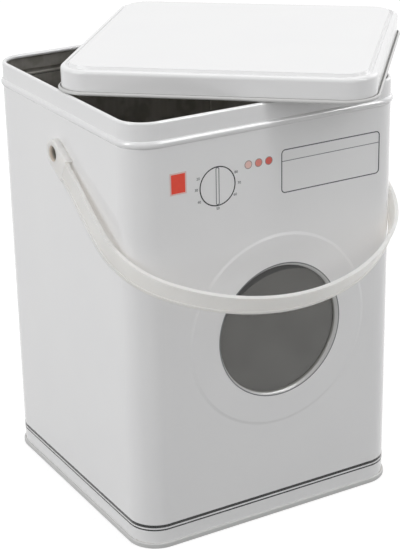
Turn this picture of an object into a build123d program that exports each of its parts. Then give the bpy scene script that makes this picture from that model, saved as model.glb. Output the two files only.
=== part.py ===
from build123d import *
import math
import os

os.makedirs("parts", exist_ok=True)

# Laundry powder tin with its slip lid lying askew on the rim and its carrying handle hanging forward.
# The origin is the middle of the base on the floor, the front faces -Y and +Z is up.

# Sheet metal
sheet = 0.35
overrun = 2.0

# Tin body
body_width = 170.0
body_corner = 16.5
rim_height = 247.0
rim_curl = 1.25
bead_drop = 12.0
bead_height = 4.2
bead_reach = 1.2
sleeve_lift = 1.2
seam_width = 5.0
seam_build = 0.7
seam_place = 64.0
seam_clear = 6.0
seam_groove = 0.5
seam_groove_depth = 0.15

# Round window in the front
window_offset = 3.6
window_height = 115.4
window_radius = 37.4
window_lip = 1.8
lip_depth = 3.4
panel_radius = 55.4
panel_rise = 0.45
panel_slope = 1.6

# Window pane, a shallow clear dish with a flange behind the lip
pane_thickness = 0.8
pane_recess = 1.9
pane_flange = 4.0
pane_gap = 0.03

# Base, seamed on round the lower edge of the sleeve
base_recess = 3.6
fold_height = 3.2
fold_reach = 1.1
fold_sole = 1.0
fold_round = 0.8
fold_gap = 0.02

# Lid
lid_clearance = 0.5
lid_headroom = 3.5
lid_shoulder = 2.2
lid_curl = 1.0
lid_groove_width = 1.7
lid_groove_depth = 0.7
lid_groove_inset = 0.7
lid_panel_rise = 1.3
lid_panel_slope = 0.6
lid_across = 30.4
lid_along = -0.8
lid_turn = -41.0
lid_rest = 0.3

# Handle
pivot_drop = 35.6
handle_rise = 49.4
arm_bow = 6.4
arm_short = 17.6
handle_shoulder = 53.6
handle_rest_gap = 0.3
strap_width = 12.8
strap_rib = 2.0
strap_web = 1.3
strap_rib_width = 2.0
ear_radius = 7.9
ear_length = 14.5
ear_thickness = 3.9
ear_gap = 0.3
ear_round = 0.8
stud_radius = 5.4
stud_bore = 4.4
stud_clearance = 0.08
stud_barb = 0.7
stud_nose = 2.4
stud_root = 0.4
stud_slot = 1.2

# Steps of the search for the handle's rest
fine_shares = 60

# Derived places
half = body_width / 2
inner_half = half - sheet
bead_height_place = rim_height - bead_drop
neck_height = bead_drop - bead_height / 2
lid_half = half + lid_clearance + sheet
lid_corner = body_corner + lid_clearance + sheet
lid_height = neck_height + lid_headroom
pivot_height = rim_height - pivot_drop
handle_reach = half + handle_rise
handle_spread = half + arm_bow
arm_length = half - arm_short
stud_reach = 2 * ear_gap + sheet + stud_nose


def ring(section, width, corner):
    """Carries a section in the XZ plane, drawn at +X, once round a square with rounded corners."""
    straight = width - 2 * corner
    side = extrude(section, amount=straight / 2, both=True)
    centre = width / 2 - corner
    bend = Pos(0, centre, 0) * section
    corner_piece = revolve(bend, Axis((centre, centre, 0), (0, 0, 1)), 90)
    pieces = []
    for quarter in range(4):
        turn = Rot(0, 0, 90 * quarter)
        pieces.append(turn * side)
        pieces.append(turn * corner_piece)
    return pieces[0].fuse(*pieces[1:])


def section_face(*edges):
    """Closes a run of edges given as (x, z) into one face that stands in the XZ plane."""
    face = make_face(Wire(list(edges)))
    return Plane.XZ * face


def sleeve_section():
    """Cut through the wall: straight side, friction bead and rim rolled inward."""
    bead_low = bead_height_place - bead_height / 2
    bead_high = bead_height_place + bead_height / 2
    roll_x = half - rim_curl
    roll_z = rim_height - rim_curl
    bore = rim_curl - sheet
    outer = [
        Line((half, sleeve_lift), (half, bead_low)),
        ThreePointArc((half, bead_low), (half + bead_reach, bead_height_place), (half, bead_high)),
        Line((half, bead_high), (half, roll_z)),
        ThreePointArc((half, roll_z), (roll_x, rim_height), (roll_x - rim_curl, roll_z)),
        ThreePointArc(
            (roll_x - rim_curl, roll_z),
            (roll_x - rim_curl * math.sqrt(0.5), roll_z - rim_curl * math.sqrt(0.5)),
            (roll_x, roll_z - rim_curl),
        ),
        Line((roll_x, roll_z - rim_curl), (roll_x, roll_z - bore)),
    ]
    inner = [
        ThreePointArc(
            (roll_x, roll_z - bore),
            (roll_x - bore * math.sqrt(0.5), roll_z - bore * math.sqrt(0.5)),
            (roll_x - bore, roll_z),
        ),
        ThreePointArc((roll_x - bore, roll_z), (roll_x, roll_z + bore), (inner_half, roll_z)),
        Line((inner_half, roll_z), (inner_half, bead_high)),
        ThreePointArc(
            (inner_half, bead_high),
            (inner_half + bead_reach, bead_height_place),
            (inner_half, bead_low),
        ),
        Line((inner_half, bead_low), (inner_half, sleeve_lift)),
        Line((inner_half, sleeve_lift), (half, sleeve_lift)),
    ]
    return section_face(*outer, *inner)


def window_surround():
    """Raised round panel of the front with the sheet turned in about the hole, as a turned section."""
    face = -half - panel_rise
    foot = panel_radius + panel_slope
    mouth = window_radius + window_lip
    back = face + sheet
    wide = window_radius + sheet
    bend = window_lip * (1 - math.sqrt(0.5))
    bend_in = (window_lip - sheet) * (1 - math.sqrt(0.5))
    outline = [
        Line((foot, -half), (panel_radius, face)),
        Line((panel_radius, face), (mouth, face)),
        ThreePointArc(
            (mouth, face), (window_radius + bend, face + bend), (window_radius, face + window_lip)
        ),
        Line((window_radius, face + window_lip), (window_radius, face + lip_depth)),
        Line((window_radius, face + lip_depth), (wide, face + lip_depth)),
        Line((wide, face + lip_depth), (wide, face + window_lip)),
        ThreePointArc(
            (wide, face + window_lip), (wide + bend_in, back + bend_in), (mouth, back)
        ),
        Line((mouth, back), (panel_radius, back)),
        Line((panel_radius, back), (foot, -inner_half)),
        Line((foot, -inner_half), (foot, -half)),
    ]
    section = make_face(Wire(outline))
    turned = revolve(section, Axis((0, 0, 0), (0, 1, 0)), 360)
    return Pos(window_offset, 0, window_height) * turned


def front_cylinder(radius, start, end):
    """Cylinder about the window's axis, from one depth to another along Y."""
    length = end - start
    drum = Cylinder(radius, length)
    return Pos(window_offset, (start + end) / 2, window_height) * Rot(90, 0, 0) * drum


def tin_body():
    """Sleeve of the tin with its rim, bead, window hole, handle holes and back seam."""
    body = ring(sleeve_section(), body_width, body_corner)
    foot = panel_radius + panel_slope
    body -= front_cylinder(foot, -half - overrun, -inner_half + overrun)
    body += window_surround()
    hole = Rot(0, 90, 0) * Cylinder(stud_radius + stud_clearance, body_width + overrun)
    body -= Pos(0, 0, pivot_height) * hole
    seam_low = base_recess + seam_clear
    seam_high = bead_height_place - bead_height
    seam = Box(
        seam_width, seam_build, seam_high - seam_low, align=(Align.CENTER, Align.MAX, Align.MIN)
    )
    body += Pos(seam_place, inner_half, seam_low) * seam
    groove = Box(
        seam_groove,
        seam_groove_depth + overrun,
        seam_high - seam_low,
        align=(Align.CENTER, Align.MIN, Align.MIN),
    )
    body -= Pos(seam_place - seam_width / 2, half - seam_groove_depth, seam_low) * groove
    return body


def base_panel():
    """Pressed bottom: a raised plate whose edge is folded down, under and up round the sleeve."""
    leg_out = half + fold_gap
    leg_in = inner_half - fold_gap
    section = Polygon(
        (leg_in - sheet, 0),
        (leg_out + fold_reach, 0),
        (leg_out + fold_reach, fold_height),
        (leg_out, fold_height),
        (leg_out, fold_sole),
        (leg_in, fold_sole),
        (leg_in, base_recess + sheet),
        (leg_in - sheet, base_recess + sheet),
        align=None,
    )
    outside = section.vertices().filter_by(lambda v: v.X > leg_out + fold_reach / 2)
    section = fillet(outside, fold_round)
    fold = ring(Plane.XZ * section.face(), body_width, body_corner)
    plate_width = 2 * (leg_in - sheet / 2)
    plate = extrude(RectangleRounded(plate_width, plate_width, body_corner - sheet), sheet)
    return fold + Pos(0, 0, base_recess) * plate


def window_pane():
    """Clear dish that sits inside the turned edge, with its flange behind it."""
    face = -half - panel_rise
    front = face + pane_recess
    seat = face + lip_depth + pane_gap
    dish = window_radius - pane_gap
    flange = window_radius + pane_flange
    outline = Polyline(
        (0, front),
        (dish, front),
        (dish, seat),
        (flange, seat),
        (flange, seat + pane_thickness),
        (dish - pane_thickness, seat + pane_thickness),
        (dish - pane_thickness, front + pane_thickness),
        (0, front + pane_thickness),
        close=True,
    )
    turned = revolve(make_face(outline), Axis((0, 0, 0), (0, 1, 0)), 360)
    return Pos(window_offset, 0, window_height) * turned


def lid_section():
    """Cut through the lid's edge: panel step, groove, rounded shoulder, skirt and curled lower edge."""
    top = lid_height
    side = lid_half
    flat = side - lid_shoulder
    groove_out = flat - lid_groove_inset
    groove_mid = groove_out - lid_groove_width / 2
    groove_in = groove_out - lid_groove_width
    step = groove_in - lid_panel_slope
    edge = step - lid_panel_slope
    raised = top + lid_panel_rise
    curl_x = side + lid_curl - sheet
    bore = lid_curl - sheet
    bend = lid_shoulder * (1 - math.sqrt(0.5))
    tight = lid_shoulder - sheet
    outer = [
        Line((edge, raised), (step, raised)),
        Line((step, raised), (groove_in, top)),
        ThreePointArc((groove_in, top), (groove_mid, top - lid_groove_depth), (groove_out, top)),
        Line((groove_out, top), (flat, top)),
        ThreePointArc((flat, top), (side - bend, top - bend), (side, top - lid_shoulder)),
        Line((side, top - lid_shoulder), (side, lid_curl)),
        ThreePointArc((side, lid_curl), (curl_x, lid_curl - bore), (curl_x + bore, lid_curl)),
        ThreePointArc(
            (curl_x + bore, lid_curl),
            (curl_x + bore * math.sqrt(0.5), lid_curl + bore * math.sqrt(0.5)),
            (curl_x, lid_curl + bore),
        ),
        Line((curl_x, lid_curl + bore), (curl_x, 2 * lid_curl)),
    ]
    inner = [
        ThreePointArc(
            (curl_x, 2 * lid_curl),
            (curl_x + lid_curl * math.sqrt(0.5), lid_curl * (1 + math.sqrt(0.5))),
            (curl_x + lid_curl, lid_curl),
        ),
        ThreePointArc((curl_x + lid_curl, lid_curl), (curl_x, 0), (side - sheet, lid_curl)),
        Line((side - sheet, lid_curl), (side - sheet, top - lid_shoulder)),
        ThreePointArc(
            (side - sheet, top - lid_shoulder),
            (flat + tight * math.sqrt(0.5), top - lid_shoulder + tight * math.sqrt(0.5)),
            (flat, top - sheet),
        ),
        Line((flat, top - sheet), (groove_out, top - sheet)),
        ThreePointArc(
            (groove_out, top - sheet),
            (groove_mid, top - sheet - lid_groove_depth),
            (groove_in, top - sheet),
        ),
        Line((groove_in, top - sheet), (step, raised - sheet)),
        Line((step, raised - sheet), (edge, raised - sheet)),
        Line((edge, raised - sheet), (edge, raised)),
    ]
    return section_face(*outer, *inner), edge, raised


def lid():
    """Pressed lid, turned and shifted to where it lies on the rim."""
    section, edge, raised = lid_section()
    cover = ring(section, 2 * lid_half, lid_corner)
    plate_corner = lid_corner - (lid_half - edge)
    plate = extrude(RectangleRounded(2 * edge, 2 * edge, plate_corner), sheet)
    cover += Pos(0, 0, raised - sheet) * plate
    return Pos(lid_across, lid_along, rim_height + lid_rest) * Rot(0, 0, lid_turn) * cover


def bow_centres():
    """Middle of the shoulder bend across the bow, and how far the crown's centre lies down it."""
    across = handle_spread - handle_shoulder
    rise = handle_reach - handle_shoulder
    down = (rise**2 - across**2 - arm_length**2) / (2 * (rise - arm_length))
    return across, down


def rest_tilt():
    """Angle from hanging straight down at which the strap's lower edge meets the front corners."""
    across, down = bow_centres()
    lean = math.atan2(arm_length - down, across)
    bend = handle_shoulder - strap_rib
    centre = half - body_corner
    reach = body_corner + handle_rest_gap
    stops = [lean * share / fine_shares for share in range(fine_shares + 1)]
    low, high = 0, math.pi / 2
    for _ in range(fine_shares):
        tilt = (low + high) / 2
        nearest = min(
            math.hypot(
                across + bend * math.cos(stop) - centre,
                (arm_length + bend * math.sin(stop)) * math.sin(tilt)
                - strap_width / 2 * math.cos(tilt)
                - centre,
            )
            for stop in stops
        )
        if nearest < reach:
            low = tilt
        else:
            high = tilt
    return high


def bow_line(inset):
    """Right half of the bow and its mirror image, set in from the strap's outer face."""
    ear_face = half + ear_gap + ear_thickness - inset
    spread = handle_spread - inset
    shoulder = handle_shoulder - inset
    shoulder_x, crown_y = bow_centres()
    crown = handle_reach - crown_y - inset
    lean = math.degrees(math.atan2(arm_length - crown_y, shoulder_x))
    straight = Line((ear_face, 0), (ear_face, ear_length))
    flare = Spline(
        (ear_face, ear_length), (spread, arm_length), tangents=((0, 1), (0, 1))
    )
    bend = CenterArc((shoulder_x, arm_length), shoulder, 0, lean)
    half_crown = CenterArc((0, crown_y), crown, lean, 90 - lean)
    right = [straight, flare, bend, half_crown]
    left = [edge.mirror(Plane.YZ) for edge in right]
    return Wire(right + left)


def strap_band(outer_inset, inner_inset, width):
    """One layer of the strap: the strip between two bow lines, as wide as given."""
    outer = bow_line(outer_inset)
    inner = bow_line(inner_inset)
    ends_outer = sorted(outer.vertices(), key=lambda v: v.Y)[:2]
    ends_inner = sorted(inner.vertices(), key=lambda v: v.Y)[:2]
    caps = []
    for near in ends_outer:
        far = min(ends_inner, key=lambda v: abs(v.X - near.X))
        caps.append(Line((near.X, near.Y), (far.X, far.Y)))
    outline = Wire(outer.edges() + inner.edges() + caps)
    return extrude(make_face(outline), amount=width / 2, both=True)


def ear():
    """Rounded ear at +X with the stud that snaps through the side of the tin, before it is bored."""
    outline = Circle(ear_radius) + Pos(ear_length / 2, 0) * Rectangle(ear_length, 2 * ear_radius)
    plate = extrude(outline, ear_thickness)
    plate = fillet(plate.faces().sort_by(Axis.Z)[-1].edges(), ear_round)
    stud = Pos(0, 0, -stud_reach / 2) * Cylinder(stud_radius, stud_reach)
    barb = Pos(0, 0, stud_nose / 2 - stud_reach) * Rot(180, 0, 0) * Cone(
        stud_radius + stud_barb, stud_radius - stud_barb, stud_nose
    )
    slot = Pos(0, 0, -stud_reach) * Box(
        stud_slot, 2 * (stud_radius + 2 * stud_barb), 2 * (stud_nose - stud_root)
    )
    place = Plane(origin=(half + ear_gap, 0, 0), x_dir=(0, 1, 0), z_dir=(1, 0, 0))
    return place * (plate + stud + barb - slot)


def handle():
    """One moulding: a strap with a raised rib along each edge, an ear at each end and hollow studs."""
    web_inset = (strap_rib - strap_web) / 2
    strap = strap_band(web_inset, web_inset + strap_web, strap_width)
    rib = strap_band(0, strap_rib, strap_rib_width)
    offset = (strap_width - strap_rib_width) / 2
    strap += Pos(0, 0, offset) * rib
    strap += Pos(0, 0, -offset) * rib
    right = ear()
    strap += right
    strap += right.mirror(Plane.YZ)
    bore_middle = half + ear_gap + (ear_thickness - stud_reach) / 2
    bore_length = ear_thickness + stud_reach + 2 * overrun
    for side in (-1, 1):
        strap -= Pos(side * bore_middle, 0, 0) * Rot(0, 90, 0) * Cylinder(stud_bore, bore_length)
    tilt = rest_tilt()
    place = Plane(
        origin=(0, 0, pivot_height), x_dir=(1, 0, 0), z_dir=(0, math.cos(tilt), -math.sin(tilt))
    )
    return place * strap


pieces = {
    "tin_body": tin_body(),
    "base_panel": base_panel(),
    "window_pane": window_pane(),
    "lid": lid(),
    "handle": handle(),
}
for name, solid in pieces.items():
    solid.label = name
    export_step(solid, "parts/" + name + ".step")
    print(name, solid.is_valid, len(solid.solids()), round(solid.volume), solid.bounding_box())
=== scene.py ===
import math

import bpy
from mathutils import Matrix, Vector


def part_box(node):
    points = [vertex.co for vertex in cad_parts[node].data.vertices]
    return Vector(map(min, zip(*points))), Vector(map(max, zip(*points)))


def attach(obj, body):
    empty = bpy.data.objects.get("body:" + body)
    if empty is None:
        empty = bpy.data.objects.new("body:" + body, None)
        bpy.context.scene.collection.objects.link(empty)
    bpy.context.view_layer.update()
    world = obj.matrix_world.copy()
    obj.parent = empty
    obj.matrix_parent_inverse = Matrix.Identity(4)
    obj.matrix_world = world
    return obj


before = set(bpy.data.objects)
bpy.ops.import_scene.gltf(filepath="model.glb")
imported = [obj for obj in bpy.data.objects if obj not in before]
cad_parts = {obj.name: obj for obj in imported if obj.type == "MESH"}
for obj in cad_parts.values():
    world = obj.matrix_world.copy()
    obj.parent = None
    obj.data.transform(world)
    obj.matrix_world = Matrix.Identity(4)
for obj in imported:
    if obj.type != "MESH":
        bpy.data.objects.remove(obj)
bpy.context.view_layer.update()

mm = 0.001
mergeDistance = 0.001 * mm
print("frame loaded")


# Helpers for colour, nodes and modelling

def linearColour(hexText):
    values = [int(hexText[i:i + 2], 16) / 255 for i in (1, 3, 5)]
    return tuple(v / 12.92 if v <= 0.04045 else ((v + 0.055) / 1.055) ** 2.4 for v in values) + (1.0,)


def addNode(tree, kind, settings=None, inputs=None):
    # one node, its own settings, and its inputs as values or as links from other nodes
    node = tree.nodes.new(kind)
    for key, value in (settings or {}).items():
        setattr(node, key, value)
    for key, value in (inputs or {}).items():
        if isinstance(value, bpy.types.NodeSocket):
            tree.links.new(value, node.inputs[key])
        else:
            node.inputs[key].default_value = value
    return node


def newMaterial(name):
    material = bpy.data.materials.new(name)
    material.use_nodes = True
    material.node_tree.nodes.clear()
    return material, material.node_tree


def finishMaterial(tree, surface):
    output = addNode(tree, "ShaderNodeOutputMaterial")
    tree.links.new(surface.outputs[0], output.inputs["Surface"])


def freshStart():
    if bpy.context.object and bpy.context.object.mode != "OBJECT":
        bpy.ops.object.mode_set(mode="OBJECT")
    bpy.ops.object.select_all(action="DESELECT")


def settle(name, material, body):
    # place goes into the mesh, faces point outwards, and the piece rides on its body
    piece = bpy.context.object
    bpy.ops.object.transform_apply(location=True, rotation=True, scale=True)
    bpy.ops.object.mode_set(mode="EDIT")
    bpy.ops.mesh.select_all(action="SELECT")
    bpy.ops.mesh.remove_doubles(threshold=mergeDistance)
    bpy.ops.mesh.normals_make_consistent(inside=False)
    bpy.ops.object.mode_set(mode="OBJECT")
    piece.name = name
    piece.data.name = name
    piece.data.materials.clear()
    piece.data.materials.append(material)
    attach(piece, body)
    return piece


# Tin: offset-printed white tinplate under clear varnish, bare tin inside.
# The varnish gives a bright, slightly wavy gloss; the bare inside is dull grey metal.

tin = {
    "width": 170 * mm,
    "corner": 16.5 * mm,
    "curlLow": 244.6 * mm,            # the rolled rim is above this
    "foldIn": 0.6 * mm,               # the base is printed from this far inside the tin's side
    "faceUp": 0.3,                    # a face of the lid whose normal rises past this is printed
    "rolledHeight": 2.1 * mm,         # the curl round the lid's foot is this high
    "ringX": 4.4 * mm,
    "ringZ": 115.4 * mm,
    "ringOuter": 39.5 * mm,
    "ringDepth": 84.7 * mm,           # from here inwards the turned edge is painted darker, as shade in the recess
    "lipDepth": 82.0 * mm,            # and here the turned edge ends
    "recessShadeFade": 0.2 * mm,
    "white": "#EEEEEE",
    "whiteWarm": "#E9E9EA",
    "cloudSize": 45 * mm,
    # painted shade: the grey of the rolled edges at a piece's foot
    "rolled": "#CDCDCC",
    "ringGrey": "#BEBEBD",
    "paintedRecessShade": "#83827E",
    "bare": "#D0CDC7",
    "bareDark": "#B8B5AF",
    "streakWidth": 2 * mm,
    "streakSquash": 0.06,             # the streaks are drawn out upwards by 1 over this
    "stain": "#B2AFA8",
    "stainSize": 9 * mm,
    "stainRange": (0.48, 0.66),
    # painted shade in the groove behind the bead, darker where the bare side faces up
    "grooveShade": "#66645E",
    "grooveShadeRange": (0.1, 0.6),
    "deepGrooveShade": "#373633",
    "deepGrooveShadeRange": (0.55, 0.8),
    "bareMetal": 0.5,
    "bareRoughness": 0.26,
    "dustRoughness": 0.75,
    "dustRoughRange": (0.1, 0.4),
    "varnishRoughness": (0.10, 0.18),
    "rolledRoughness": 0.5,
    "waveSize": 70 * mm,
    "waveDepth": 0.25 * mm,
    "peelSize": 1.6 * mm,
    "peelDepth": 0.004 * mm,
    "peelStrength": 0.5,
    "ior": 1.5,
}


def printedSide(tree, part, axes, normal, up):
    # 1 on the printed side, which looks away from the middle of the piece, else 0
    flatPlace = addNode(tree, "ShaderNodeCombineXYZ", None, {"X": axes["X"], "Y": axes["Y"]})
    facing = addNode(tree, "ShaderNodeVectorMath", {"operation": "DOT_PRODUCT"},
                     {0: flatPlace.outputs[0], 1: normal})
    outward = addNode(tree, "ShaderNodeMath", {"operation": "GREATER_THAN"},
                      {0: facing.outputs["Value"], 1: 0.0})
    if part == "tin_body":
        # the rolled rim is printed all round
        measure, limit = axes["Z"], tin["curlLow"]
    elif part == "base_panel":
        # so is the base's fold, where it stands out past the sleeve
        away = addNode(tree, "ShaderNodeVectorMath", {"operation": "ABSOLUTE"},
                       {0: flatPlace.outputs[0]})
        awayAxes = addNode(tree, "ShaderNodeSeparateXYZ", None, {0: away.outputs[0]}).outputs
        furthest = addNode(tree, "ShaderNodeMath", {"operation": "MAXIMUM"},
                           {0: awayAxes["X"], 1: awayAxes["Y"]})
        measure, limit = furthest.outputs[0], tin["width"] / 2 - tin["foldIn"]
    else:
        # and so is the lid's top
        measure, limit = up, tin["faceUp"]
    beyond = addNode(tree, "ShaderNodeMath", {"operation": "GREATER_THAN"}, {0: measure, 1: limit})
    printed = addNode(tree, "ShaderNodeMath", {"operation": "MAXIMUM"},
                      {0: outward.outputs[0], 1: beyond.outputs[0]})
    return printed.outputs[0]


def whiteInk(tree, cloud, rolled):
    # faintly clouded white, with painted shade on the rolled edges near a piece's foot, which are greyer
    white = addNode(tree, "ShaderNodeMix", {"data_type": "RGBA"},
                    {0: cloud, 6: linearColour(tin["white"]), 7: linearColour(tin["whiteWarm"])})
    edged = addNode(tree, "ShaderNodeMix", {"data_type": "RGBA"},
                    {0: rolled, 6: white.outputs[2], 7: linearColour(tin["rolled"])})
    return edged.outputs[2]


def ringRoundWindow(tree, place, axes, printed, colour):
    # grey ring round the window, over the turned edge, which counts as the printed side
    offset = addNode(tree, "ShaderNodeVectorMath", {"operation": "SUBTRACT"},
                     {0: place, 1: (tin["ringX"], 0, tin["ringZ"])})
    offsetAxes = addNode(tree, "ShaderNodeSeparateXYZ", None, {0: offset.outputs[0]}).outputs
    flat = addNode(tree, "ShaderNodeCombineXYZ", None, {"X": offsetAxes["X"], "Y": offsetAxes["Z"]})
    reach = addNode(tree, "ShaderNodeVectorMath", {"operation": "LENGTH"}, {0: flat.outputs[0]})
    near = addNode(tree, "ShaderNodeMath", {"operation": "LESS_THAN"},
                   {0: reach.outputs["Value"], 1: tin["ringOuter"]})
    front = addNode(tree, "ShaderNodeMath", {"operation": "LESS_THAN"},
                    {0: axes["Y"], 1: -tin["lipDepth"]})
    ring = addNode(tree, "ShaderNodeMath", {"operation": "MULTIPLY"},
                   {0: near.outputs[0], 1: front.outputs[0]})
    # painted shade: deeper in the turned edge the colour turns darker, where the recess is in shadow
    deeper = addNode(tree, "ShaderNodeMapRange", {"interpolation_type": "SMOOTHSTEP"},
                     {0: axes["Y"], 1: -tin["ringDepth"] - tin["recessShadeFade"],
                      2: -tin["ringDepth"] + tin["recessShadeFade"]})
    edge = addNode(tree, "ShaderNodeMix", {"data_type": "RGBA"},
                   {0: deeper.outputs[0], 6: linearColour(tin["ringGrey"]), 7: linearColour(tin["paintedRecessShade"])})
    ringed = addNode(tree, "ShaderNodeMix", {"data_type": "RGBA"},
                     {0: ring.outputs[0], 6: colour, 7: edge.outputs[2]})
    withRing = addNode(tree, "ShaderNodeMath", {"operation": "MAXIMUM"},
                       {0: printed, 1: ring.outputs[0]})
    return withRing.outputs[0], ringed.outputs[2]


def bareSide(tree, place):
    # rolling streaks run up the sheet, drawn 2 mm apart, coarse enough to show, with faint stains
    stretched = addNode(tree, "ShaderNodeVectorMath", {"operation": "MULTIPLY"},
                        {0: place, 1: (1, 1, tin["streakSquash"])})
    streaks = addNode(tree, "ShaderNodeTexNoise", None,
                      {"Vector": stretched.outputs[0], "Scale": 1 / tin["streakWidth"], "Detail": 3.0})
    bare = addNode(tree, "ShaderNodeMix", {"data_type": "RGBA"},
                   {0: streaks.outputs[0], 6: linearColour(tin["bare"]), 7: linearColour(tin["bareDark"])})
    stains = addNode(tree, "ShaderNodeTexNoise", None,
                     {"Vector": place, "Scale": 1 / tin["stainSize"], "Detail": 2.0})
    start, full = tin["stainRange"]
    stained = addNode(tree, "ShaderNodeMapRange", {"interpolation_type": "SMOOTHSTEP"},
                      {0: stains.outputs[0], 1: start, 2: full})
    metal = addNode(tree, "ShaderNodeMix", {"data_type": "RGBA"},
                    {0: stained.outputs[0], 6: bare.outputs[2], 7: linearColour(tin["stain"])})
    return metal.outputs[2]


def paintedShadeInGroove(tree, up, metal):
    # painted shade: the bare side is darkened where it faces up, in the groove behind the bead
    colour = metal
    for tone, (start, full) in ((tin["grooveShade"], tin["grooveShadeRange"]), (tin["deepGrooveShade"], tin["deepGrooveShadeRange"])):
        level = addNode(tree, "ShaderNodeMapRange", {"interpolation_type": "SMOOTHSTEP"},
                        {0: up, 1: start, 2: full})
        dusty = addNode(tree, "ShaderNodeMix", {"data_type": "RGBA"},
                        {0: level.outputs[0], 6: colour, 7: linearColour(tone)})
        colour = dusty.outputs[2]
    return colour


def sheetRoughness(tree, cloud, rolled, printed, up):
    # the bare side is rougher where dust can lie on it
    start, full = tin["dustRoughRange"]
    bareRough = addNode(tree, "ShaderNodeMapRange", {"interpolation_type": "SMOOTHSTEP"},
                        {0: up, 1: start, 2: full, 3: tin["bareRoughness"], 4: tin["dustRoughness"]})
    # varnish roughness wanders a little with the clouding
    smoothest, roughest = tin["varnishRoughness"]
    wander = addNode(tree, "ShaderNodeMapRange", None, {0: cloud, 3: smoothest, 4: roughest})
    varnish = addNode(tree, "ShaderNodeMix", {"data_type": "FLOAT"},
                      {0: rolled, 2: wander.outputs[0], 3: tin["rolledRoughness"]})
    roughness = addNode(tree, "ShaderNodeMix", {"data_type": "FLOAT"},
                        {0: printed, 2: bareRough.outputs[0], 3: varnish.outputs[0]})
    return roughness.outputs[0]


def sheetRelief(tree, place):
    # slow waves of a thin sheet, and orange peel of the varnish, drawn 1.6 mm wide, coarse enough to show
    waves = addNode(tree, "ShaderNodeTexNoise", None,
                    {"Vector": place, "Scale": 1 / tin["waveSize"], "Detail": 0.0})
    slow = addNode(tree, "ShaderNodeBump", None,
                   {"Strength": 1.0, "Distance": tin["waveDepth"], "Height": waves.outputs[0]})
    peel = addNode(tree, "ShaderNodeTexNoise", None,
                   {"Vector": place, "Scale": 1 / tin["peelSize"], "Detail": 1.0})
    fine = addNode(tree, "ShaderNodeBump", None,
                   {"Strength": tin["peelStrength"], "Distance": tin["peelDepth"],
                    "Height": peel.outputs[0], "Normal": slow.outputs["Normal"]})
    return fine.outputs["Normal"]


def varnishedTinplate(name, part, centre, rolledBelow):
    material, tree = newMaterial(name)
    place = addNode(tree, "ShaderNodeTexCoord").outputs["Object"]
    shifted = addNode(tree, "ShaderNodeVectorMath", {"operation": "SUBTRACT"}, {0: place, 1: centre})
    axes = addNode(tree, "ShaderNodeSeparateXYZ", None, {0: shifted.outputs[0]}).outputs
    normal = addNode(tree, "ShaderNodeNewGeometry").outputs["Normal"]
    up = addNode(tree, "ShaderNodeSeparateXYZ", None, {0: normal}).outputs["Z"]
    cloud = addNode(tree, "ShaderNodeTexNoise", None,
                    {"Vector": place, "Scale": 1 / tin["cloudSize"], "Detail": 2.0}).outputs[0]
    rolled = addNode(tree, "ShaderNodeMath", {"operation": "LESS_THAN"},
                     {0: axes["Z"], 1: rolledBelow}).outputs[0]

    printed = printedSide(tree, part, axes, normal, up)
    colour = whiteInk(tree, cloud, rolled)
    inner = bareSide(tree, place)
    if part == "tin_body":
        printed, colour = ringRoundWindow(tree, place, axes, printed, colour)
        inner = paintedShadeInGroove(tree, up, inner)
    both = addNode(tree, "ShaderNodeMix", {"data_type": "RGBA"}, {0: printed, 6: inner, 7: colour})
    metallic = addNode(tree, "ShaderNodeMix", {"data_type": "FLOAT"},
                       {0: printed, 2: tin["bareMetal"], 3: 0.0})
    surface = addNode(tree, "ShaderNodeBsdfPrincipled", None,
                      {"Base Color": both.outputs[2], "Metallic": metallic.outputs[0],
                       "Roughness": sheetRoughness(tree, cloud, rolled, printed, up),
                       "Normal": sheetRelief(tree, place), "IOR": tin["ior"]})
    finishMaterial(tree, surface)
    return material


# Window: clear thermoformed plastic with a slight grey haze, fine rub marks catch the light

window = {
    "haze": "#9D9C98",
    "hazeDark": "#7A7974",
    "hazeSize": 22 * mm,
    "rubSize": 12 * mm,
    # colour of the painted shadow crescent at the top of the pane
    "bend": "#242321",
    "bendCentre": (7.8 * mm, 0, 104.9 * mm),
    "bendRadius": 44.8 * mm,
    "bendFade": 0.4 * mm,
    "clear": 0.66,
    "roughness": (0.08, 0.18),
    "ior": 1.57,
}


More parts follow.
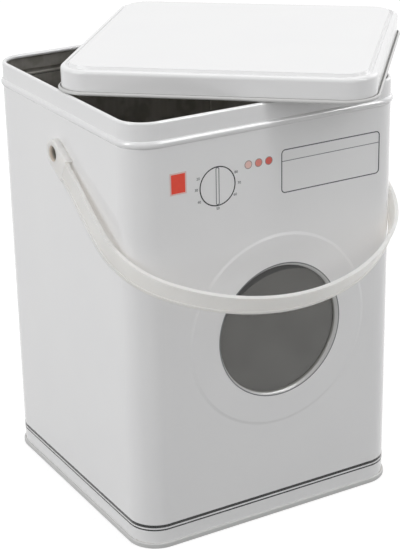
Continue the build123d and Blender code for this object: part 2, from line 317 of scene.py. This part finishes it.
def hazyWindowPlastic():
    material, tree = newMaterial("PETG window, thermoformed")
    place = addNode(tree, "ShaderNodeTexCoord").outputs["Object"]
    cloud = addNode(tree, "ShaderNodeTexNoise", None,
                    {"Vector": place, "Scale": 1 / window["hazeSize"], "Detail": 2.0})
    colour = addNode(tree, "ShaderNodeMix", {"data_type": "RGBA"},
                     {0: cloud.outputs[0], 6: linearColour(window["haze"]),
                      7: linearColour(window["hazeDark"])})
    # painted shadow: a thin dark crescent at the top of the pane, where the rim's shadow falls on it
    offset = addNode(tree, "ShaderNodeVectorMath", {"operation": "SUBTRACT"},
                     {0: place, 1: window["bendCentre"]})
    flat = addNode(tree, "ShaderNodeVectorMath", {"operation": "MULTIPLY"},
                   {0: offset.outputs[0], 1: (1, 0, 1)})
    reach = addNode(tree, "ShaderNodeVectorMath", {"operation": "LENGTH"}, {0: flat.outputs[0]})
    bend = addNode(tree, "ShaderNodeMapRange", {"interpolation_type": "SMOOTHSTEP"},
                   {0: reach.outputs["Value"], 1: window["bendRadius"] - window["bendFade"],
                    2: window["bendRadius"] + window["bendFade"]})
    crescentShadowed = addNode(tree, "ShaderNodeMix", {"data_type": "RGBA"},
                   {0: bend.outputs[0], 6: colour.outputs[2], 7: linearColour(window["bend"])})
    rubs = addNode(tree, "ShaderNodeTexNoise", None,
                   {"Vector": place, "Scale": 1 / window["rubSize"], "Detail": 4.0})
    smoothest, roughest = window["roughness"]
    rough = addNode(tree, "ShaderNodeMapRange", None, {0: rubs.outputs[0], 3: smoothest, 4: roughest})
    surface = addNode(tree, "ShaderNodeBsdfPrincipled", None,
                      {"Base Color": crescentShadowed.outputs[2], "Roughness": rough.outputs[0],
                       "IOR": window["ior"], "Transmission Weight": window["clear"]})
    finishMaterial(tree, surface)
    return material


# Handle: natural polypropylene, injection moulded: milky, a little see-through, waxy sheen

handle = {
    "milk": "#F7F4F2",
    "milkWarm": "#F2EEEB",
    "flowSize": 14 * mm,
    "grainSize": 0.7 * mm,
    "grainDepth": 0.02 * mm,
    "grainStrength": 0.4,
    "pivotHeight": 211.4 * mm,
    "bore": 4.6 * mm,
    "boreMouth": 88.6 * mm,
    "boreEnd": 86.0 * mm,
    "shade": "#F3E3D8",
    "deepShade": "#4A423D",
    "roughness": (0.31, 0.41),
    "ior": 1.49,
    "milkiness": 0.9,
    "depth": 7 * mm,
    "depthOfColours": (1.0, 0.95, 0.9),
    "glow": 0.16,
    "glowTone": "#EDF2EE",
    "through": "#F0ECE8",
}


def boreShade(tree, place, milk):
    # painted shade inside the two pivot bores, where the plastic is thin: warmer and a little darker at the
    # mouth
    offset = addNode(tree, "ShaderNodeVectorMath", {"operation": "SUBTRACT"},
                     {0: place, 1: (0, 0, handle["pivotHeight"])})
    flat = addNode(tree, "ShaderNodeVectorMath", {"operation": "MULTIPLY"},
                   {0: offset.outputs[0], 1: (0, 1, 1)})
    reach = addNode(tree, "ShaderNodeVectorMath", {"operation": "LENGTH"}, {0: flat.outputs[0]})
    inside = addNode(tree, "ShaderNodeMath", {"operation": "LESS_THAN"},
                     {0: reach.outputs["Value"], 1: handle["bore"]})
    # turning to a dark painted shade at the far end, where the bore opens to the inside of the tin
    sideways = addNode(tree, "ShaderNodeSeparateXYZ", None, {0: place}).outputs["X"]
    outwards = addNode(tree, "ShaderNodeMath", {"operation": "ABSOLUTE"}, {0: sideways})
    deep = addNode(tree, "ShaderNodeMapRange", {"interpolation_type": "SMOOTHSTEP"},
                   {0: outwards.outputs[0], 1: handle["boreMouth"], 2: handle["boreEnd"]})
    boreTone = addNode(tree, "ShaderNodeMix", {"data_type": "RGBA"},
                       {0: deep.outputs[0], 6: linearColour(handle["shade"]),
                        7: linearColour(handle["deepShade"])})
    shaded = addNode(tree, "ShaderNodeMix", {"data_type": "RGBA"},
                     {0: inside.outputs[0], 6: milk, 7: boreTone.outputs[2]})
    return shaded.outputs[2]


def milkyPolypropylene():
    material, tree = newMaterial("Natural polypropylene, injection moulded")
    place = addNode(tree, "ShaderNodeTexCoord").outputs["Object"]
    flow = addNode(tree, "ShaderNodeTexNoise", None,
                   {"Vector": place, "Scale": 1 / handle["flowSize"], "Detail": 2.0})
    colour = addNode(tree, "ShaderNodeMix", {"data_type": "RGBA"},
                     {0: flow.outputs[0], 6: linearColour(handle["milk"]),
                      7: linearColour(handle["milkWarm"])})
    smoothest, roughest = handle["roughness"]
    rough = addNode(tree, "ShaderNodeMapRange", None, {0: flow.outputs[0], 3: smoothest, 4: roughest})
    # grain of the mould, drawn 0.7 mm wide, coarse enough to show
    grain = addNode(tree, "ShaderNodeTexNoise", None,
                    {"Vector": place, "Scale": 1 / handle["grainSize"], "Detail": 2.0})
    bump = addNode(tree, "ShaderNodeBump", None,
                   {"Strength": handle["grainStrength"], "Distance": handle["grainDepth"],
                    "Height": grain.outputs[0]})
    surface = addNode(tree, "ShaderNodeBsdfPrincipled", None,
                      {"Base Color": boreShade(tree, place, colour.outputs[2]),
                       "Roughness": rough.outputs[0], "IOR": handle["ior"],
                       "Subsurface Weight": handle["milkiness"], "Subsurface Scale": handle["depth"],
                       "Subsurface Radius": handle["depthOfColours"], "Normal": bump.outputs["Normal"]})
    # light from behind comes through the thin strap
    behind = addNode(tree, "ShaderNodeBsdfTranslucent", None,
                     {"Color": linearColour(handle["glowTone"])})
    lit = addNode(tree, "ShaderNodeMixShader", None,
                  {0: handle["glow"], 1: surface.outputs[0], 2: behind.outputs[0]})
    # milky plastic lets part of the light through, so its shadow on the tin is faint
    through = addNode(tree, "ShaderNodeBsdfTransparent", None, {"Color": linearColour(handle["through"])})
    shadow = addNode(tree, "ShaderNodeLightPath").outputs["Is Shadow Ray"]
    milky = addNode(tree, "ShaderNodeMixShader", None,
                    {0: shadow, 1: lit.outputs[0], 2: through.outputs[0]})
    finishMaterial(tree, milky)
    return material


# Inks: offset ink under the same varnish, each a flat tone with a little ink mottle

inks = {
    "tones": {
        "black": "#262728",
        "slate line": "#55585C",
        "signal red": "#F03E1F",
        "lamp red": "#DB5A4E",
        "half red": "#E0877A",
        "pale red": "#EAC4BB",
        "grey": "#77797B",
        "warm grey outline": "#A08F8C",
        "pale border": "#E3C4BE",
    },
    "mottleSize": 3 * mm,
    "mottle": (0.94, 1.06),
    "roughness": 0.22,
    "ior": 1.5,
}


def offsetInk(name, hexText):
    material, tree = newMaterial(name)
    place = addNode(tree, "ShaderNodeTexCoord").outputs["Object"]
    mottle = addNode(tree, "ShaderNodeTexNoise", None,
                     {"Vector": place, "Scale": 1 / inks["mottleSize"], "Detail": 2.0})
    darkest, lightest = inks["mottle"]
    tone = addNode(tree, "ShaderNodeMapRange", None, {0: mottle.outputs[0], 3: darkest, 4: lightest})
    colour = addNode(tree, "ShaderNodeHueSaturation", None,
                     {"Color": linearColour(hexText), "Value": tone.outputs[0]})
    surface = addNode(tree, "ShaderNodeBsdfPrincipled", None,
                      {"Base Color": colour.outputs[0], "Roughness": inks["roughness"], "IOR": inks["ior"]})
    finishMaterial(tree, surface)
    return material


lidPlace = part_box("lid")
lidMiddle = (lidPlace[0] + lidPlace[1]) / 2
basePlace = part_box("base_panel")
finishes = {
    "tin_body": varnishedTinplate("Tinplate, offset printed and varnished", "tin_body", (0, 0, 0), 0),
    "lid": varnishedTinplate("Tinplate lid, pressed and varnished", "lid",
                             (lidMiddle.x, lidMiddle.y, 0), lidPlace[0].z + tin["rolledHeight"]),
    "base_panel": varnishedTinplate("Tinplate base, seamed and varnished", "base_panel",
                                    (0, 0, 0), basePlace[1].z),
    "window_pane": hazyWindowPlastic(),
    "handle": milkyPolypropylene(),
}
for nodeName, finish in finishes.items():
    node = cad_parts[nodeName]
    node.data.materials.clear()
    node.data.materials.append(finish)
print("solids finished")

ink = {name: offsetInk("Offset ink, " + name, tone) for name, tone in inks["tones"].items()}


# Prints on the front: thin films of ink, half sunk in the face they lie on

film = {
    "thickness": 0.12 * mm,
    "face": -85.0 * mm,
    "panelFace": -85.45 * mm,
    "circlePoints": 96,
    "cornerSteps": 8,
    "letterSteps": 4,
}


def thicken(material, name):
    piece = bpy.context.object
    wall = piece.modifiers.new("film", "SOLIDIFY")
    wall.thickness = film["thickness"]
    wall.offset = 0
    bpy.ops.object.modifier_apply(modifier=wall.name)
    return settle(name, material, "tin")


def roundPrint(name, x, z, radius, material, line=None, face=film["face"]):
    freshStart()
    bpy.ops.mesh.primitive_circle_add(vertices=film["circlePoints"], radius=radius, fill_type="NGON",
                                      location=(x, face, z), rotation=(math.pi / 2, 0, 0))
    if line:
        bpy.ops.object.mode_set(mode="EDIT")
        bpy.ops.mesh.select_all(action="SELECT")
        bpy.ops.mesh.inset(thickness=line)
        bpy.ops.mesh.delete(type="FACE")
        bpy.ops.object.mode_set(mode="OBJECT")
    return thicken(material, name)


def boxPrint(name, low, high, material, line=None, rounding=0):
    # a rectangle on the front from its low to its high corner in X and Z, filled or as a line
    freshStart()
    centre = ((low[0] + high[0]) / 2, film["face"], (low[1] + high[1]) / 2)
    bpy.ops.mesh.primitive_plane_add(size=1, location=centre, rotation=(math.pi / 2, 0, 0))
    piece = bpy.context.object
    piece.scale = (high[0] - low[0], high[1] - low[1], 1)
    bpy.ops.object.transform_apply(location=False, rotation=False, scale=True)
    bpy.ops.object.mode_set(mode="EDIT")
    bpy.ops.mesh.select_all(action="SELECT")
    if rounding:
        bpy.ops.mesh.bevel(offset=rounding, segments=film["cornerSteps"], affect="VERTICES")
        bpy.ops.mesh.select_all(action="SELECT")
    if line:
        bpy.ops.mesh.inset(thickness=line)
        bpy.ops.mesh.delete(type="FACE")
    bpy.ops.object.mode_set(mode="OBJECT")
    return thicken(material, name)


# thin grey line round the window, on the raised panel
port = {"x": 4.4 * mm, "z": 115.2 * mm, "radius": 39.6 * mm, "line": 0.6 * mm}
roundPrint("print_port_line", port["x"], port["z"], port["radius"], ink["grey"], port["line"],
           film["panelFace"])

# outline of the powder drawer, and its grip line
drawer = {
    "low": (5.2 * mm, 194.7 * mm),
    "high": (69.8 * mm, 219.3 * mm),
    "rounding": 2.5 * mm,
    "line": 0.6 * mm,
    "gripHeight": 212.5 * mm,
    "gripLine": 0.4 * mm,
}
boxPrint("print_drawer_line", drawer["low"], drawer["high"], ink["slate line"], drawer["line"],
         drawer["rounding"])
boxPrint("print_drawer_grip", (drawer["low"][0] + drawer["line"], drawer["gripHeight"]),
         (drawer["high"][0] - drawer["line"], drawer["gripHeight"] + drawer["gripLine"]), ink["grey"])

# small red square in a pale border
mark = {"low": (-62.3 * mm, 206.9 * mm), "high": (-54.0 * mm, 217.3 * mm), "border": 0.8 * mm}
boxPrint("print_mark_red", mark["low"], mark["high"], ink["signal red"])
boxPrint("print_mark_border", (mark["low"][0] - mark["border"], mark["low"][1] - mark["border"]),
         (mark["high"][0] + mark["border"], mark["high"][1] + mark["border"]), ink["pale border"],
         mark["border"])

# dial with its pointer and plain numbers
dial = {
    "x": -34.5 * mm,
    "z": 206.4 * mm,
    "radius": 11.0 * mm,
    "line": 0.65 * mm,
    "pointer": 10.4 * mm,
    "pointerWidth": 2.2 * mm,
    "pointerLine": 0.45 * mm,
    "pointerRounding": 1.0 * mm,
    "numbers": {
        "20": (-46.2 * mm, 212.4 * mm),
        "30": (-47.5 * mm, 206.4 * mm),
        "40": (-45.8 * mm, 199.5 * mm),
        "50": (-34.5 * mm, 194.0 * mm),
        "60": (-23.8 * mm, 199.9 * mm),
        "70": (-21.2 * mm, 205.9 * mm),
        "80": (-23.1 * mm, 212.2 * mm),
    },
    "numberHeight": 2.1 * mm,
}
roundPrint("print_dial_line", dial["x"], dial["z"], dial["radius"], ink["black"], dial["line"])
boxPrint("print_dial_pointer", (dial["x"] - dial["pointerWidth"] / 2, dial["z"] - dial["pointer"]),
         (dial["x"] + dial["pointerWidth"] / 2, dial["z"] + dial["pointer"]), ink["grey"],
         dial["pointerLine"], dial["pointerRounding"])
for number, (x, z) in dial["numbers"].items():
    freshStart()
    bpy.ops.object.text_add(location=(x, film["face"] - film["thickness"] / 2, z),
                            rotation=(math.pi / 2, 0, 0))
    words = bpy.context.object
    words.data.body = number
    words.data.size = dial["numberHeight"]
    words.data.align_x = "CENTER"
    words.data.align_y = "CENTER"
    words.data.extrude = film["thickness"] / 2
    words.data.resolution_u = film["letterSteps"]
    bpy.ops.object.convert(target="MESH")
    settle("print_dial_number_" + number, ink["grey"], "tin")

# three round lamps, redder to the right
lamps = {
    "z": 214.8 * mm,
    "radius": 2.35 * mm,
    "line": 0.4 * mm,
    "inks": {-15.5 * mm: "pale red", -9.1 * mm: "half red", -2.7 * mm: "lamp red"},
}
for count, (x, tone) in enumerate(lamps["inks"].items(), 1):
    roundPrint(f"print_lamp_{count}", x, lamps["z"], lamps["radius"] - lamps["line"], ink[tone])
    roundPrint(f"print_lamp_line_{count}", x, lamps["z"], lamps["radius"], ink["warm grey outline"],
               lamps["line"])
print("front printed")


# Two printed lines round the foot of the tin

foot = {
    "lines": {
        "print_foot_line_thick": {"height": 13.6 * mm, "width": 1.7 * mm},
        "print_foot_line_thin": {"height": 11.3 * mm, "width": 0.85 * mm},
    },
    "cornerSteps": 24,
}


def footLine(name, height, width):
    freshStart()
    bpy.ops.mesh.primitive_plane_add(size=tin["width"], location=(0, 0, height - width / 2))
    bpy.ops.object.mode_set(mode="EDIT")
    bpy.ops.mesh.select_all(action="SELECT")
    bpy.ops.mesh.bevel(offset=tin["corner"], segments=foot["cornerSteps"], affect="VERTICES")
    bpy.ops.mesh.select_all(action="SELECT")
    bpy.ops.mesh.delete(type="ONLY_FACE")
    bpy.ops.mesh.select_all(action="SELECT")
    bpy.ops.mesh.extrude_edges_move(TRANSFORM_OT_translate={"value": (0, 0, width)})
    bpy.ops.object.mode_set(mode="OBJECT")
    return thicken(ink["black"], name)


for name, line in foot["lines"].items():
    footLine(name, line["height"], line["width"])
print("foot lines printed")


# Studio, in metres: a pale floor, soft lamps from the left, from above and from the right, and a
# strip in front. The lamps marked glossOnly are seen in the gloss of the tin's body and light nothing.

studio = {
    "world": 0.45,
    "worldSeen": 1.0,                 # 1 is white to the camera
    "floorSize": 8.0,
    "floor": "#929292",
    "floorRoughness": 0.9,
    "floorGlow": 0.78,
    "aim": (0, 0, 0.13),
    "lights": [
        {"name": "key", "place": (-1.5, -0.1, 0.85), "size": (1.2, 1.2), "power": 11.4},
        {"name": "top", "place": (0.3, 0.3, 2.2), "size": (1.4, 1.4), "power": 10.5},
        {"name": "side", "place": (1.7, 0.25, 0.9), "size": (1.2, 1.2), "power": 7},
        {"name": "strip", "place": (0.80, -1.00, 1.15), "size": (0.16, 1.9), "power": 7.5},
        {"name": "sheen", "place": (0.81, -1.12, 0.93), "size": (0.9, 1.2), "power": 28, "glossOnly": True},
        {"name": "spark", "place": (-1.48, -0.10, 0.75), "size": (0.35, 0.8), "power": 12, "glossOnly": True},
    ],
}


def seenRay(tree):
    # 1 for what the camera sees, straight or in gloss or through the window, else 0
    rays = addNode(tree, "ShaderNodeLightPath")
    straight = addNode(tree, "ShaderNodeMath", {"operation": "MAXIMUM"},
                       {0: rays.outputs["Is Camera Ray"], 1: rays.outputs["Is Transmission Ray"]})
    return addNode(tree, "ShaderNodeMath", {"operation": "MAXIMUM"},
                   {0: straight.outputs[0], 1: rays.outputs["Is Glossy Ray"]})


world = bpy.context.scene.world or bpy.data.worlds.new("studio")
bpy.context.scene.world = world
world.use_nodes = True
world.node_tree.nodes.clear()
power = addNode(world.node_tree, "ShaderNodeMapRange", None,
                {0: seenRay(world.node_tree).outputs[0], 3: studio["world"], 4: studio["worldSeen"]})
sky = addNode(world.node_tree, "ShaderNodeBackground", None,
              {"Color": (1, 1, 1, 1), "Strength": power.outputs[0]})
skyOut = addNode(world.node_tree, "ShaderNodeOutputWorld")
world.node_tree.links.new(sky.outputs[0], skyOut.inputs["Surface"])

freshStart()
bpy.ops.mesh.primitive_plane_add(size=studio["floorSize"], location=(0, 0, 0))
floor = bpy.context.object
floor.name = "floor"
# the paper's grey sends little light back up, and its glow makes it white to the camera
floorPaper, tree = newMaterial("Studio paper, matt white")
glow = addNode(tree, "ShaderNodeMath", {"operation": "MULTIPLY"},
               {0: seenRay(tree).outputs[0], 1: studio["floorGlow"]})
paper = addNode(tree, "ShaderNodeBsdfPrincipled", None,
                {"Base Color": linearColour(studio["floor"]), "Roughness": studio["floorRoughness"],
                 "Emission Color": (1, 1, 1, 1), "Emission Strength": glow.outputs[0]})
finishMaterial(tree, paper)
floor.data.materials.append(floorPaper)

for light in studio["lights"]:
    lamp = bpy.data.lights.new(light["name"], "AREA")
    lamp.shape = "RECTANGLE"
    lamp.size, lamp.size_y = light["size"]
    lamp.energy = light["power"]
    lampObject = bpy.data.objects.new(light["name"], lamp)
    bpy.context.scene.collection.objects.link(lampObject)
    lampObject.location = light["place"]
    if light.get("glossOnly"):
        # for the bright line on the bead; the lid is left out, because its top would clip to white
        lampObject.visible_diffuse = False
        shiny = bpy.data.collections.new(light["name"])
        shiny.objects.link(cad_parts["tin_body"])
        lampObject.light_linking.receiver_collection = shiny
    aim = Vector(studio["aim"]) - Vector(light["place"])
    lampObject.rotation_euler = aim.to_track_quat("-Z", "Y").to_euler()


# Camera: it stands where the photograph was taken from, across and down are its moves within the picture

shot = {
    "azimuth": math.radians(-29.934),
    "elevation": math.radians(21.817),
    "roll": math.radians(1.123),
    "distance": 966.5 * mm,
    "aim": Vector((0, 0, 123.65 * mm)),
    "across": 2.446 * mm,
    "down": 3.498 * mm,
    "lens": 106.22,
}
back = Vector((math.sin(shot["azimuth"]) * math.cos(shot["elevation"]),
               -math.cos(shot["azimuth"]) * math.cos(shot["elevation"]), math.sin(shot["elevation"])))
right = Vector((math.cos(shot["azimuth"]), math.sin(shot["azimuth"]), 0))
down = -back.cross(right)
turnedRight = right * math.cos(shot["roll"]) + down * math.sin(shot["roll"])
turnedDown = down * math.cos(shot["roll"]) - right * math.sin(shot["roll"])
eye = shot["aim"] + turnedRight * shot["across"] + turnedDown * shot["down"] + back * shot["distance"]
camera = bpy.data.objects.new("camera", bpy.data.cameras.new("camera"))
bpy.context.scene.collection.objects.link(camera)
camera.data.lens = shot["lens"]
camera.matrix_world = Matrix.Translation(eye) @ Matrix((turnedRight, -turnedDown, back)).transposed().to_4x4()
bpy.context.scene.camera = camera
bpy.context.scene.view_settings.view_transform = "Standard"
print("studio ready")

bpy.context.view_layer.update()
